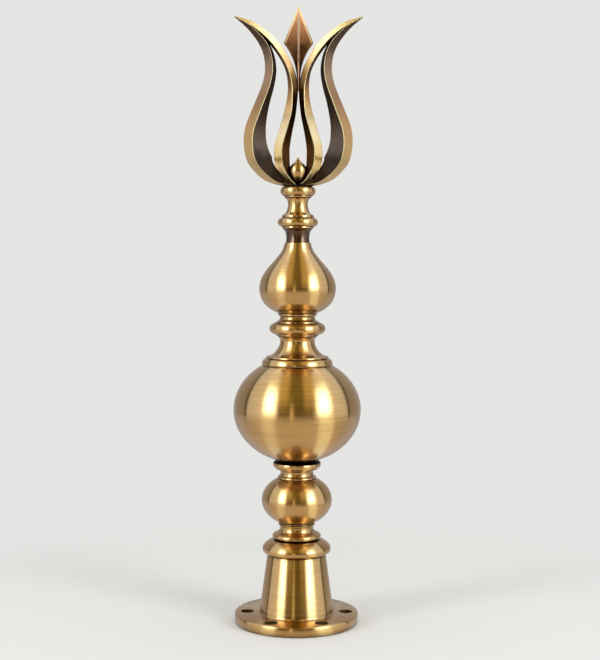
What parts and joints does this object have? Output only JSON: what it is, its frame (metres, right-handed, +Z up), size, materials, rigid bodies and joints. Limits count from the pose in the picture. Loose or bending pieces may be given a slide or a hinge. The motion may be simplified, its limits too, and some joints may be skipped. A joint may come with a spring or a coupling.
{
  "type": "roof finial",
  "caption": "Tall turned brass roof finial on a round bolted flange, with stacked balls and rings and a flat tulip-shaped crest holding a bud and a spear point.",
  "frame": {"origin": "centre of the flange's flat underside", "axes": "+Z up along the turned column's axis, X across the flat crest, -Y towards the front"},
  "size_m": [0.1336, 0.1336, 0.6451],
  "materials": {
    "satin_brass": "satin, turned and lightly brushed, golden",
    "dark_copper": "dark copper-brown, satin, brushed",
    "patinated_brass": "satin golden brass on the outward facets, dark brown patina on the inward ones"
  },
  "bodies": {
    "root": {"base": "satin_brass", "lower_neck": "satin_brass", "lower_bulb": "satin_brass", "middle_neck": "satin_brass", "ball": "satin_brass", "spool": "satin_brass", "pear": "satin_brass", "ferrule": "dark_copper", "upper_neck": "satin_brass", "crest": "patinated_brass", "bud": "satin_brass", "spear": "dark_copper"}
  },
  "joints": []
}
